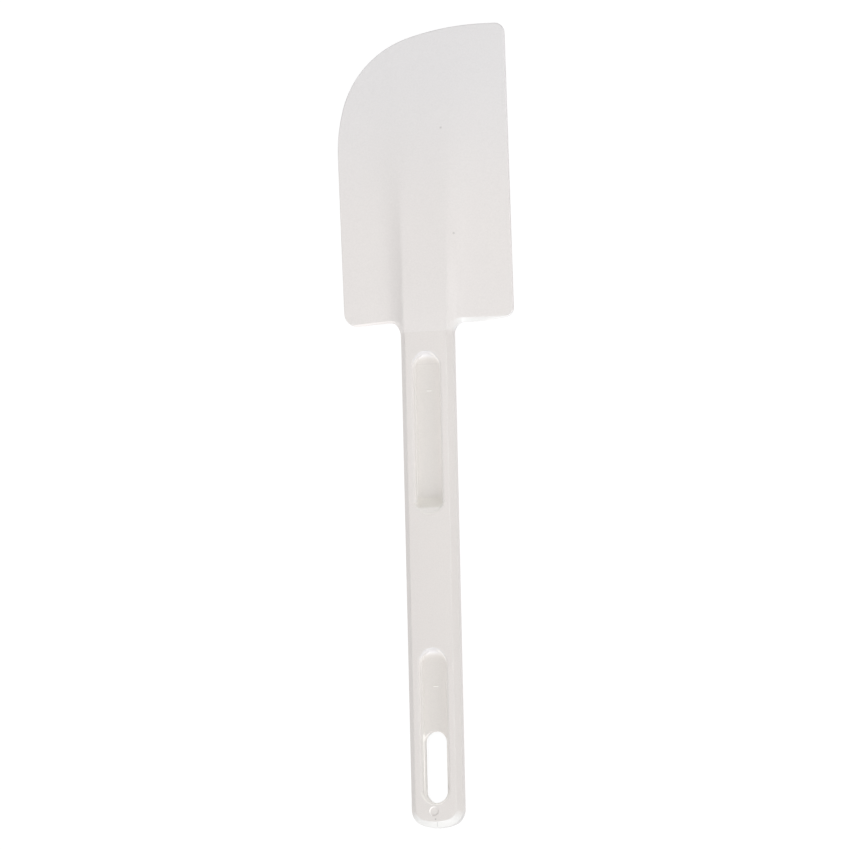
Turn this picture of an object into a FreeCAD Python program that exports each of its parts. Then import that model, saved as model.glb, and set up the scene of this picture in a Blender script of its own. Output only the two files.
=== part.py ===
import FreeCAD, Part
import math
import os

# Bowl scraper: a stiff moulded handle with a hidden tang, and a soft blade moulded round the tang.
# Drawn with X across, Y from the butt end (0) to the blade's tip, and Z from the mid-plane.
# Millimetres and degrees. Every piece is moved to the part's own frame when it is written.

OVERALL_LENGTH = 241.3
THICKNESS = 8.0               # over the flats of the handle and over the rib beside it

# Handle
HANDLE_WIDTH = 15.9
JOINT_Y = 148.6               # where the handle's end face meets the blade's collar
BEVEL_ACROSS = 1.65
BEVEL_DEEP = 2.2
SOFT_EDGE = 0.5               # rounding along both edges of the bevel
BUTT_RADIUS = 15.0
BUTT_CORNER_RADIUS = 5.0

# Pockets, sunk alike in the front and the back, and the hanging slot
POCKET_WIDTH = 8.0
POCKET_DEPTH = 2.4
RIM_RADIUS = 0.8
RAMP_RUN = 3.1                # length of the scooped ramp at a pocket's end
RAMP_LIP = 0.1                # upright wall left between a ramp's top and the rounded rim
RAMP_SAG = 0.28
GRIP_POCKET = (94.15, 141.95)
HANGING_RECESS = (7.3, 52.85)
SLOT_LENGTH = 21.7

# Tang and its lock holes
TANG_LENGTH = 39.4
TANG_WIDTHS = (10.8, 8.0)     # at the root and at the end
TANG_THICKNESSES = (4.4, 2.0)
LOCK_HOLE_RADIUS = 2.0
LOCK_HOLE_PITCH = 10.0
LOCK_HOLE_COUNT = 3

# Blade, seen from the front
BLADE_HALF_WIDTH = 26.4
BLADE_BASE_Y = 151.3
NECK_RADIUS = {-1: 3.6, 1: 3.3}           # left and right
LEFT_LEAN = 1.1                           # the left edge leans out towards the tip
RIGHT_LEAN = 0.6                          # the right edge leans in
LEFT_CORNER_RADIUS = 4.2
RIGHT_CORNER_RADIUS = 2.8
RIGHT_LEAD_RADIUS = 62.0
RIGHT_LEAD_TURN = 10.2
RIGHT_EDGE_Y = 154.0                      # height at which the right edge is widest
CURVE = ((50.9, 16.3), (30.1, 58.1))      # radius and turn of the first two arcs of the sweep
CURVE_END_RADIUS = 78.2
TIP_RADIUS = 3.0

# Blade, thickness from the mid-plane: distance from the joint, crown height and half-width,
# foot half-width and height. The rib's crown is level with the handle and dies into the blade.
# Its flanks are steep beside the joint and run out wide and shallow towards the tip.
EDGE_HEIGHT = 0.7
RIB_SECTIONS = (
    (-1.0, 3.998, 6.7, 9.6, 1.15),
    (4.0, 3.97, 6.7, 9.6, 1.15),
    (28.0, 3.12, 7.0, 10.8, 1.15),
    (50.0, 2.15, 7.4, 13.6, 1.05),
    (70.0, 1.4, 9.5, 17.0, 0.95),
    (94.0, 0.68, 12.0, 20.0, 0.65),
)
FLANK_SHARE = 0.55                        # straight part of the flank, before it bends at its foot
FOOT_SHARE = 0.35                         # part of the field that the foot's bend takes up
SECTION_HALF_WIDTH = 27.5
BASE_WALL_HEIGHT = 0.35                   # upright wall left under the bevel of the blade's base
TOOL_REACH = 4.6                          # height to which the bevel cutters reach
TOOL_MARGIN = 0.3

HALF_THICKNESS = THICKNESS / 2
HALF_WIDTH = HANDLE_WIDTH / 2
SIDE_WALL_HEIGHT = HALF_THICKNESS - BEVEL_DEEP
BEVEL_SLOPE = BEVEL_DEEP / BEVEL_ACROSS
POCKET_FLOOR = HALF_THICKNESS - POCKET_DEPTH
TINY = 1e-4


def vec(x, y, z=0.0):
    return FreeCAD.Vector(x, y, z)


def arc_step(heading, radius, turn):
    """Displacement along an arc. Right turns are positive, left turns negative."""
    before, after = math.radians(heading), math.radians(heading - turn)
    signed = math.copysign(radius, turn)
    return vec(
        signed * (math.sin(before) - math.sin(after)),
        signed * (math.cos(after) - math.cos(before)),
    )


class Outline:
    """An outline walked clockwise, one tangent line or arc at a time."""

    def __init__(self, start, heading):
        self.start = start
        self.point = start
        self.heading = heading
        self.edges = []

    def line_to(self, end):
        self.edges.append(Part.makeLine(self.point, end))
        self.point = end

    def arc(self, radius, turn):
        middle = self.point + arc_step(self.heading, radius, turn / 2)
        end = self.point + arc_step(self.heading, radius, turn)
        self.edges.append(Part.Arc(self.point, middle, end).toShape())
        self.point = end
        self.heading -= turn

    def face(self):
        self.line_to(self.start)
        return Part.Face(Part.Wire(self.edges))


def prism(face, low, high):
    """A solid over a flat face, from one height to another."""
    solid = face.extrude(vec(0, 0, high - low))
    solid.translate(vec(0, 0, low))
    return solid


def edges_where(shape, test):
    """The edges whose end points and middle all pass a test."""
    chosen = []
    for edge in shape.Edges:
        middle = edge.valueAt((edge.FirstParameter + edge.LastParameter) / 2)
        if all(test(p) for p in [v.Point for v in edge.Vertexes] + [middle]):
            chosen.append(edge)
    return chosen


def mirrored_in_z(shape):
    return shape.mirror(vec(0, 0, 0), vec(0, 0, 1))


# Neck: the concave curve from the handle's side to the blade's base. The joint cuts across it.

def neck_centre(side):
    radius = NECK_RADIUS[side]
    return vec(side * (HALF_WIDTH + radius), BLADE_BASE_Y - radius)


def neck_turn_at_joint(side):
    """Turn of the neck curve between the straight side and the joint."""
    return math.degrees(math.asin((JOINT_Y - neck_centre(side).y) / NECK_RADIUS[side]))


def neck_at_joint(side):
    radius = NECK_RADIUS[side]
    reach = radius * math.cos(math.radians(neck_turn_at_joint(side)))
    return vec(neck_centre(side).x - side * reach, JOINT_Y)


# Handle

def handle_outline():
    lean = math.degrees(math.asin(
        (HALF_WIDTH - BUTT_CORNER_RADIUS) / (BUTT_RADIUS - BUTT_CORNER_RADIUS)))
    side_end_y = BUTT_RADIUS - (BUTT_RADIUS - BUTT_CORNER_RADIUS) * math.cos(math.radians(lean))
    right_turn = neck_turn_at_joint(1)
    left_turn = neck_turn_at_joint(-1)
    outline = Outline(neck_at_joint(1), 270 - right_turn)
    outline.arc(NECK_RADIUS[1], -right_turn)
    outline.line_to(vec(HALF_WIDTH, side_end_y))
    outline.arc(BUTT_CORNER_RADIUS, 90 - lean)
    outline.arc(BUTT_RADIUS, 2 * lean)
    outline.arc(BUTT_CORNER_RADIUS, 90 - lean)
    outline.line_to(vec(-HALF_WIDTH, neck_centre(-1).y))
    outline.arc(NECK_RADIUS[-1], -left_turn)
    return outline


def bevelled_bar():
    """The handle's bar, bevelled on both faces all round except at the joint."""
    bar = prism(handle_outline().face(), -HALF_THICKNESS, HALF_THICKNESS)

    def on_face_rim(p):
        return abs(abs(p.z) - HALF_THICKNESS) < TINY and p.y < JOINT_Y + TINY

    def off_joint(edge):
        return edge.BoundBox.YMin < JOINT_Y - TINY

    rims = [e for e in edges_where(bar, on_face_rim) if off_joint(e)]
    bar = bar.makeChamfer(BEVEL_DEEP, BEVEL_ACROSS, rims)

    def on_bevel_edge(p):
        at_top = abs(abs(p.z) - HALF_THICKNESS) < TINY
        at_wall = abs(abs(p.z) - SIDE_WALL_HEIGHT) < TINY
        return at_top or at_wall

    soft = [e for e in edges_where(bar, on_bevel_edge) if off_joint(e)]
    return bar.makeFillet(SOFT_EDGE, soft)


def obround(low_y, high_y, width):
    """A flat shape with parallel sides and round ends, centred on the handle."""
    radius = width / 2
    shape = Outline(vec(radius, high_y - radius), 270)
    shape.line_to(vec(radius, low_y + radius))
    shape.arc(radius, 180)
    shape.line_to(vec(-radius, high_y - radius))
    shape.arc(radius, 180)
    return Part.Face(Part.Wire(shape.edges))


def pocket_cutter(span):
    return prism(obround(*span, POCKET_WIDTH), POCKET_FLOOR, HALF_THICKNESS + 1)


def ramp(span, end_y, towards):
    """The scooped ramp that fills the foot of a pocket's end wall. It rises towards the end."""
    crease = vec(0, end_y - towards * RAMP_RUN, POCKET_FLOOR)
    top = vec(0, end_y, HALF_THICKNESS - RIM_RADIUS - RAMP_LIP)
    foot = vec(0, end_y, POCKET_FLOOR)
    chord = top - crease
    sag = vec(0, chord.z, -chord.y * towards).normalize() * RAMP_SAG
    middle = (crease + top) / 2 + vec(0, towards * sag.y, sag.z)
    profile = Part.Wire([
        Part.Arc(crease, middle, top).toShape(),
        Part.makeLine(top, foot),
        Part.makeLine(foot, crease),
    ])
    block = Part.Face(profile).extrude(vec(POCKET_WIDTH, 0, 0))
    block.translate(vec(-POCKET_WIDTH / 2, 0, 0))
    return block.common(pocket_cutter(span))


def with_pockets(bar):
    """Sinks the pockets, opens the hanging slot and rounds their rims, then adds the ramps."""
    slot_top = HANGING_RECESS[0] + SLOT_LENGTH
    slot = obround(HANGING_RECESS[0], slot_top, POCKET_WIDTH)
    cutters = [prism(slot, -HALF_THICKNESS - 1, HALF_THICKNESS + 1)]
    for span in (GRIP_POCKET, HANGING_RECESS):
        cutter = pocket_cutter(span)
        cutters += [cutter, mirrored_in_z(cutter)]
    bar = bar.cut(cutters).removeSplitter()

    def on_rim(p):
        return abs(abs(p.z) - HALF_THICKNESS) < TINY and abs(p.x) < POCKET_WIDTH / 2 + TINY

    rims = [e for e in edges_where(bar, on_rim)
            if HANGING_RECESS[0] - TINY < e.BoundBox.YMin and e.BoundBox.YMax < GRIP_POCKET[1] + TINY]
    bar = bar.makeFillet(RIM_RADIUS, rims)

    ends = ((GRIP_POCKET, GRIP_POCKET[1], 1), (GRIP_POCKET, GRIP_POCKET[0], -1),
            (HANGING_RECESS, HANGING_RECESS[1], 1))
    ramps = [ramp(*end) for end in ends]
    return bar.fuse(ramps + [mirrored_in_z(r) for r in ramps]).removeSplitter()


def tang():
    """The flat tongue inside the blade: it narrows and thins, and lock holes run through it."""
    root, end = JOINT_Y - 1, JOINT_Y + TANG_LENGTH
    half_root, half_end = TANG_WIDTHS[0] / 2, TANG_WIDTHS[1] / 2
    plan = Outline(vec(-half_root, root), 90)
    plan.line_to(vec(-half_end, end - half_end))
    plan.heading = 90
    plan.arc(half_end, 180)
    plan.line_to(vec(half_root, root))
    side = Part.Face(Part.makePolygon([
        vec(0, root, -TANG_THICKNESSES[0] / 2),
        vec(0, end, -TANG_THICKNESSES[1] / 2),
        vec(0, end, TANG_THICKNESSES[1] / 2),
        vec(0, root, TANG_THICKNESSES[0] / 2),
        vec(0, root, -TANG_THICKNESSES[0] / 2),
    ]))
    wedge = side.extrude(vec(HANDLE_WIDTH, 0, 0))
    wedge.translate(vec(-HALF_WIDTH, 0, 0))
    tongue = prism(plan.face(), -THICKNESS, THICKNESS).common(wedge)
    for i in range(LOCK_HOLE_COUNT):
        y = JOINT_Y + LOCK_HOLE_PITCH * (i + 0.8)
        tongue = tongue.cut(Part.makeCylinder(LOCK_HOLE_RADIUS, THICKNESS, vec(0, y, -HALF_THICKNESS)))
    return tongue


def make_handle():
    return with_pockets(bevelled_bar()).fuse(tang()).removeSplitter()


# Blade

def blade_outline():
    left_heading = 90 + LEFT_LEAN
    right_heading = -90 + RIGHT_LEAN
    top_turn = left_heading - sum(turn for radius, turn in CURVE)
    outline = Outline(neck_at_joint(-1), 90 + neck_turn_at_joint(-1))
    outline.arc(NECK_RADIUS[-1], neck_turn_at_joint(-1) - 90)

    # Left edge, between the corner at the base and the start of the sweep
    sweep_heading = left_heading
    rise = 0
    for radius, turn in CURVE + ((CURVE_END_RADIUS, top_turn),):
        rise += arc_step(sweep_heading, radius, turn).y
        sweep_heading -= turn
    sweep_start = vec(-BLADE_HALF_WIDTH, OVERALL_LENGTH - rise)
    corner_turn = 180 - left_heading
    corner = arc_step(180, LEFT_CORNER_RADIUS, corner_turn)
    corner_end_y = BLADE_BASE_Y + corner.y
    drop = sweep_start.y - corner_end_y
    corner_end_x = sweep_start.x + drop * math.tan(math.radians(LEFT_LEAN))
    outline.line_to(vec(corner_end_x - corner.x, BLADE_BASE_Y))
    outline.arc(LEFT_CORNER_RADIUS, corner_turn)
    outline.line_to(sweep_start)

    # Sweep, top and tip
    for radius, turn in CURVE + ((CURVE_END_RADIUS, top_turn),):
        outline.arc(radius, turn)
    tip = arc_step(0, TIP_RADIUS, -right_heading)
    tip_end_y = OVERALL_LENGTH + tip.y
    tip_end_x = BLADE_HALF_WIDTH - (tip_end_y - RIGHT_EDGE_Y) * math.tan(math.radians(RIGHT_LEAN))
    outline.line_to(vec(tip_end_x - tip.x, OVERALL_LENGTH))
    outline.arc(TIP_RADIUS, -right_heading)

    # Right edge, corner and base
    outline.heading = right_heading
    corner_turn = 180 + right_heading - RIGHT_LEAD_TURN
    corner = arc_step(right_heading, RIGHT_CORNER_RADIUS, corner_turn)
    lead = arc_step(right_heading - corner_turn, RIGHT_LEAD_RADIUS, RIGHT_LEAD_TURN)
    edge_end_y = BLADE_BASE_Y - corner.y - lead.y
    edge_end_x = outline.point.x + (outline.point.y - edge_end_y) * math.tan(math.radians(RIGHT_LEAN))
    outline.line_to(vec(edge_end_x, edge_end_y))
    outline.arc(RIGHT_CORNER_RADIUS, corner_turn)
    outline.arc(RIGHT_LEAD_RADIUS, RIGHT_LEAD_TURN)
    outline.line_to(vec(neck_centre(1).x, BLADE_BASE_Y))
    outline.arc(NECK_RADIUS[1], neck_turn_at_joint(1) - 90)
    return outline


def blade_section(from_joint, crown_height, crown_half, foot_half, foot_height):
    """One cross-section of the blade: a flat crown, falling flanks and thin fields beside them."""
    y = JOINT_Y + from_joint
    top = vec(crown_half, y, crown_height)
    foot = vec(foot_half, y, foot_height)
    edge = vec(SECTION_HALF_WIDTH, y, EDGE_HEIGHT)
    quarter = (top, top + (foot - top) * FLANK_SHARE, foot, foot + (edge - foot) * FOOT_SHARE, edge)

    def flank_and_field(side, face, inward):
        points = [vec(side * p.x, y, face * p.z) for p in quarter]
        if inward:
            points.reverse()
        bend = Part.BezierCurve()
        bend.setPoles(points[1:4])
        return [Part.makeLine(*points[:2]), bend.toShape(), Part.makeLine(*points[3:])]

    def line(x1, z1, x2, z2):
        return Part.makeLine(vec(x1, y, z1), vec(x2, y, z2))

    return Part.Wire([
        line(-crown_half, crown_height, crown_half, crown_height),
        *flank_and_field(1, 1, False),
        line(SECTION_HALF_WIDTH, EDGE_HEIGHT, SECTION_HALF_WIDTH, -EDGE_HEIGHT),
        *flank_and_field(1, -1, True),
        line(crown_half, -crown_height, -crown_half, -crown_height),
        *flank_and_field(-1, -1, False),
        line(-SECTION_HALF_WIDTH, -EDGE_HEIGHT, -SECTION_HALF_WIDTH, EDGE_HEIGHT),
        *flank_and_field(-1, 1, True),
    ])


def bevel_triangle(wall_height, place):
    """The bevel cutter's section. place(inward, height) puts one of its points in space."""
    reach = (TOOL_REACH - wall_height) / BEVEL_SLOPE
    low = wall_height - TOOL_MARGIN * BEVEL_SLOPE
    points = [place(-TOOL_MARGIN, low), place(reach, TOOL_REACH), place(-TOOL_MARGIN, TOOL_REACH)]
    return Part.makePolygon(points + points[:1])


def base_bevel_cutters(side):
    """Cuts the bevel that leaves the handle's side, runs round the neck and follows the base."""
    centre = neck_centre(side)
    radius = NECK_RADIUS[side]
    start = neck_turn_at_joint(side)
    steps = 6
    sections = []
    for i in range(-1, steps + 1):
        share = i / steps
        angle = math.radians(start + (90 - start) * share)
        blend = 0.5 - 0.5 * math.cos(math.pi * max(share, 0))
        wall_height = SIDE_WALL_HEIGHT + (BASE_WALL_HEIGHT - SIDE_WALL_HEIGHT) * blend

        def place(inward, height):
            out = radius + inward
            return centre + vec(-side * out * math.cos(angle), out * math.sin(angle), height)

        sections.append(bevel_triangle(wall_height, place))
    neck = Part.makeLoft(sections, True, False)

    def place_on_base(inward, height):
        return vec(centre.x, BLADE_BASE_Y + inward, height)

    base = Part.Face(bevel_triangle(BASE_WALL_HEIGHT, place_on_base))
    base = base.extrude(vec(side * (BLADE_HALF_WIDTH + 2 - abs(centre.x)), 0, 0))
    return [neck, base, mirrored_in_z(neck), mirrored_in_z(base)]


def make_blade(handle):
    sections = [blade_section(*s) for s in RIB_SECTIONS]
    blank = Part.makeLoft(sections, True, False)
    blade = prism(blade_outline().face(), -THICKNESS, THICKNESS).common(blank)
    for side in (-1, 1):
        blade = blade.cut(base_bevel_cutters(side))
    return blade.cut(handle)


def write(name, shape):
    """Moves a piece to the part's frame: origin under the middle of the scraper as it lies."""
    (solid,) = shape.Solids
    solid.translate(vec(0, -OVERALL_LENGTH / 2, HALF_THICKNESS))
    solid.exportStep(f"parts/{name}.step")


os.makedirs("parts", exist_ok=True)
handle = make_handle()
blade = make_blade(handle)
write("handle", handle)
write("blade", blade)
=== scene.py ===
import math

import bmesh
import bpy
from mathutils import Matrix, Vector


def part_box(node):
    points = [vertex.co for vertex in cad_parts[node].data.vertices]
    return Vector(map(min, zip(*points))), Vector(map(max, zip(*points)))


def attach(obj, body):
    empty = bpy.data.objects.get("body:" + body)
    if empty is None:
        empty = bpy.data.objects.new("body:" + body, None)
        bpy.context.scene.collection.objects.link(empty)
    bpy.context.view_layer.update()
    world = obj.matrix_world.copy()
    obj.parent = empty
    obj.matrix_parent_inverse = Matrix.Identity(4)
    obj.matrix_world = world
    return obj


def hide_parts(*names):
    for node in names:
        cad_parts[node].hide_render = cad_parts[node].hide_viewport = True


# Bowl scraper. Shapes are drawn in millimetres with X across, Y from the butt end and Z from the
# mid-plane, as the solids are, and are moved to the frame when their mesh is finished.

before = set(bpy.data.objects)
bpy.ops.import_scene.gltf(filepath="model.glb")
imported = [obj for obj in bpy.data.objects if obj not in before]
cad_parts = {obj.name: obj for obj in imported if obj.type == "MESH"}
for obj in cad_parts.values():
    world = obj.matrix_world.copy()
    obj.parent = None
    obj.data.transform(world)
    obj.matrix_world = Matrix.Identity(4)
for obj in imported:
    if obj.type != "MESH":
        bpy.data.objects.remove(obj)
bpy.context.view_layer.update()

MM = 0.001
handle_low, handle_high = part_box("handle")
blade_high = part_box("blade")[1]
BUTT_Y = handle_low.y / MM
LENGTH = blade_high.y / MM - BUTT_Y
JOINT_Y = 148.6
HALF_THICKNESS = (handle_high.z - handle_low.z) / MM / 2
BLADE_LENGTH = LENGTH - JOINT_Y

# Handle, in plan and across its bevelled edge
HALF_WIDTH = 7.95
BEVEL_ACROSS = 1.65
SIDE_WALL_HEIGHT = 1.8
SOFT_EDGE = 0.5
BUTT_RADIUS = 15.0
BUTT_CORNER_RADIUS = 5.0
BUTT_TAPER = 0.013                        # share of its width that the handle loses at the butt
NECK_RADIUS = {-1: 3.6, 1: 3.3}           # left and right

# Pockets and the hanging slot
POCKET_RADIUS = 4.0
POCKET_FLOOR = 1.6
RIM_RADIUS = 0.8
RAMP_RUN = 3.1
LOW_RAMP = (5.1, 0.5)                     # the grip's low ramp, from its foot to its head
LOW_RAMP_SHARE = 0.92                     # how much of the pocket's depth it climbs
SCOOP_POWER = 3.0
SCOOP_EDGE = 0.2                          # softness of the scoop's upper edge, as a share of the rim
SCOOP_BLEND = (2.1, 1.25)                 # wall heights at which the rim starts and ends its change
FOOT_RADIUS = 0.6
FOOT_SHARE = 0.8                          # the most of a low wall's height that its foot takes
LEAST_FOOT = 0.001
GRIP_POCKET = (94.15, 141.95)
HANGING_RECESS = (7.3, 52.85)
SLOT_END = 29.0
SLOT_RADIUS = 3.43
SLOT_SHIFT_X = -0.18                      # the slot's centre line, from its recess's
SLOT_SHIFT_Y = (-0.5, 0.42)               # of its low and its high end, along the handle
SLOT_LIP = 0.12
SLOT_BLEND = 8.0                          # the floor's rows straighten over this length past the slot

# Small marks, each placed by its middle across and along the handle
GRIP_MARK = (0.35, 131.05)
RECESS_MARK = (0.3, 42.35)
MARK_HALF_LENGTH = 0.75
MARK_END = 0.3                            # length of its slope down at either end
MARK_HALF_WIDTH = 0.28
MARK_HEIGHT = 0.1
EJECTOR_MARK = (-0.63, 4.81)
EJECTOR_RADIUS = 1.35
EJECTOR_DEPTH = 0.24
EJECTOR_EDGE = 0.12
EJECTOR_BEND = 0.3                        # share of its edge that the first slope down takes

# Blade, in plan
BLADE_HALF_WIDTH = 26.4
BLADE_BASE_Y = 151.3
LEFT_LEAN = 1.1
RIGHT_LEAN = 0.6
LEFT_CORNER_RADIUS = 4.2
RIGHT_CORNER_RADIUS = 2.8
RIGHT_LEAD_RADIUS = 62.0
RIGHT_LEAD_TURN = 10.2
RIGHT_EDGE_Y = 154.0
SWEEP = ((50.9, 16.3), (30.1, 58.1))
SWEEP_END_RADIUS = 78.2
TIP_RADIUS = 3.0
BASE_BEVEL = {-1: 0.55, 1: 1.35}          # how far the bevel reaches in from the base
LEFT_BASE_RISE = 0.65
LEFT_BASE_RISE_X = (-24.0, -11.0)         # where the base of the left wing starts and ends its rise
EDGE_ROUNDING = 0.32
EDGE_WALL = 0.38
BASE_WALL = 0.35

# Blade, through its thickness: share of the blade's length from the joint, and the value there
CROWN_HEIGHT = ((0.0, 4.0), (0.04, 3.97), (0.3, 3.12), (0.54, 2.15), (0.755, 1.4), (1.0, 0.71))
CROWN_HALF_WIDTH = ((0.0, 6.7), (0.3, 7.0), (0.54, 7.4), (0.755, 9.5), (1.0, 12.0))
FOOT_HALF_WIDTH = ((0.0, 9.6), (0.04, 9.6), (0.3, 10.8), (0.54, 13.6), (0.755, 17.0), (1.0, 20.0))
FOOT_HEIGHT = ((0.0, 1.15), (0.3, 1.15), (0.54, 1.05), (0.755, 0.95), (1.0, 0.66))
SHOULDER_SOFTNESS = ((0.0, 0.2), (0.3, 0.45), (0.54, 1.6), (0.755, 4.0), (1.0, 6.0))
FOOT_SOFTNESS = ((0.0, 1.0), (0.3, 2.5), (0.54, 5.0), (1.0, 6.0))
EDGE_HEIGHT = 0.7
SECTION_HALF_WIDTH = 27.5

# Largest value that each kind of curve can take
HEIGHT_LIMIT = 4.0
WIDTH_LIMIT = 24.0
SOFTNESS_LIMIT = 8.0

# Meshes
SPINE_ENDS = (158.0, 224.0)
SPINE_STEP = 1.2                          # both halves of a face meet at points this far apart
SPINE_EASE = 0.35                         # how far the rings crowd towards the spine
EDGE_RINGS = 12
WALL_RINGS = 2.0
FACE_RINGS = 66
JOINT_COLUMNS = 20
SIDE_COLUMNS = 70
FLOOR_COLUMNS = 44
STATION_SPACING = 0.9
RIM_STEPS = 8
LIP_STEPS = 5
SOFT_EDGE_STEPS = 6
NECK_STEPS = {-1: 6, 1: 5}
CORNER_STEPS = 14
BUTT_STEPS = 28
EJECTOR_STEPS = 40
MARK_ROW_STEP = 0.07
SUPPORT = 0.07                            # from a rounding to the line that keeps the flat beside it
THIRDS = (0.33, 0.67)
SAME_PLACE = 1e-4
BLADE_MERGE = 0.004
HANDLE_MERGE = 0.0025
SLIVER = 0.0005
SHARP_ANGLE = math.radians(38)


# Geometry and shader trees

class Value:
    """A node's output in an arithmetic expression. Each operator adds one Math node."""

    def __init__(self, graph, socket):
        self.graph = graph
        self.socket = socket

    def maths(self, operation, *others):
        values = {i: v for i, v in enumerate((self,) + others)}
        return self.graph.add("ShaderNodeMath", {"operation": operation}, values)

    def __add__(self, other):
        return self.maths("ADD", other)

    def __sub__(self, other):
        return self.maths("SUBTRACT", other)

    def __rsub__(self, other):
        return (self * -1) + other

    def __mul__(self, other):
        return self.maths("MULTIPLY", other)

    def __truediv__(self, other):
        return self.maths("DIVIDE", other)

    def __mod__(self, other):
        return self.maths("FLOORED_MODULO", other)

    def absolute(self):
        return self.maths("ABSOLUTE")

    def at_most(self, other):
        return self.maths("MINIMUM", other)

    def at_least(self, other):
        return self.maths("MAXIMUM", other)

    def above(self, other):
        return self.maths("GREATER_THAN", other)

    __radd__ = __add__
    __rmul__ = __mul__


class Graph:
    """Adds nodes to a tree. Inputs are given by name or number, as numbers, vectors or links."""

    def __init__(self, tree):
        self.tree = tree

    def add(self, kind, settings=None, inputs=None, output=0):
        node = self.tree.nodes.new(kind)
        for name, value in (settings or {}).items():
            setattr(node, name, value)
        for key, value in (inputs or {}).items():
            self.feed(node, key, value)
        shown = [s for s in node.outputs if s.enabled]
        socket = shown[output] if isinstance(output, int) else node.outputs[output]
        return Value(self, socket)

    def feed(self, node, key, value):
        shown = [s for s in node.inputs if s.enabled]
        socket = shown[key] if isinstance(key, int) else next(s for s in shown if s.name == key)
        for part in value if isinstance(value, list) else [value]:
            if isinstance(part, Value):
                self.tree.links.new(part.socket, socket)
            else:
                socket.default_value = part

    def vector(self, x, y, z):
        return self.add("ShaderNodeCombineXYZ", None, {0: x, 1: y, 2: z})

    def part(self, vector, axis):
        return self.add("ShaderNodeSeparateXYZ", None, {0: vector}, axis)

    def between(self, share, a, b):
        return a + (b - a) * share if isinstance(a, Value) else (b - a) * share + a

    def ramp(self, value, low, high, smooth=False):
        """0 below low, 1 above high, and a straight or smooth rise between them."""
        kind = "SMOOTHSTEP" if smooth else "LINEAR"
        return self.add("ShaderNodeMapRange", {"interpolation_type": kind},
                        {"Value": value, "From Min": low, "From Max": high})

    def curve(self, share, points, limit):
        """A smooth curve through points of (share, value), none of them above the limit."""
        node = self.tree.nodes.new("ShaderNodeFloatCurve")
        line = node.mapping.curves[0]
        while len(line.points) < len(points):
            line.points.new(0.5, 0.5)
        for point, (x, y) in zip(line.points, points):
            point.location = (x, y / limit)
        node.mapping.update()
        self.feed(node, "Value", share)
        return Value(self, node.outputs[0]) * limit


# Plan outlines

def step(heading, radius, turn):
    """Displacement along an arc. Right turns are positive, left turns negative."""
    before, after = math.radians(heading), math.radians(heading - turn)
    signed = math.copysign(radius, turn)
    return Vector((signed * (math.sin(before) - math.sin(after)),
                   signed * (math.cos(after) - math.cos(before))))


def smoothstep(t):
    t = min(max(t, 0.0), 1.0)
    return t * t * (3 - 2 * t)


def mix(a, b, share):
    return a + (b - a) * share


def quarter_turn(steps):
    return [math.pi / 2 * i / steps for i in range(steps + 1)]


def neck_centre(side):
    return Vector((side * (HALF_WIDTH + NECK_RADIUS[side]), BLADE_BASE_Y - NECK_RADIUS[side]))


def neck_turn(side, inset=0.0):
    """Turn of the neck curve between the handle's side and the joint, for a line set in from it."""
    return math.asin((JOINT_Y - neck_centre(side).y) / (NECK_RADIUS[side] + inset))


class Edge:
    """The blade's outline, walked clockwise. Each point keeps its inward direction."""

    SPACING = 0.9
    TIGHT_SPACING = 0.35
    TIGHT_RADIUS = 10

    def __init__(self, start, heading):
        self.point = Vector(start)
        self.heading = heading
        self.samples = []

    def inward(self, heading):
        angle = math.radians(heading)
        return Vector((math.sin(angle), -math.cos(angle)))

    def line_to(self, end):
        end = Vector(end)
        count = math.ceil((end - self.point).length / self.SPACING)
        for i in range(count):
            self.samples.append((self.point.lerp(end, i / count), self.inward(self.heading)))
        self.point = end

    def arc(self, radius, turn):
        spacing = self.TIGHT_SPACING if radius < self.TIGHT_RADIUS else self.SPACING
        count = math.ceil(abs(math.radians(turn)) * radius / spacing)
        for i in range(count):
            passed = turn * i / count
            here = self.point + step(self.heading, radius, passed) if i else self.point.copy()
            self.samples.append((here, self.inward(self.heading - passed)))
        self.point = self.point + step(self.heading, radius, turn)
        self.heading -= turn


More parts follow.
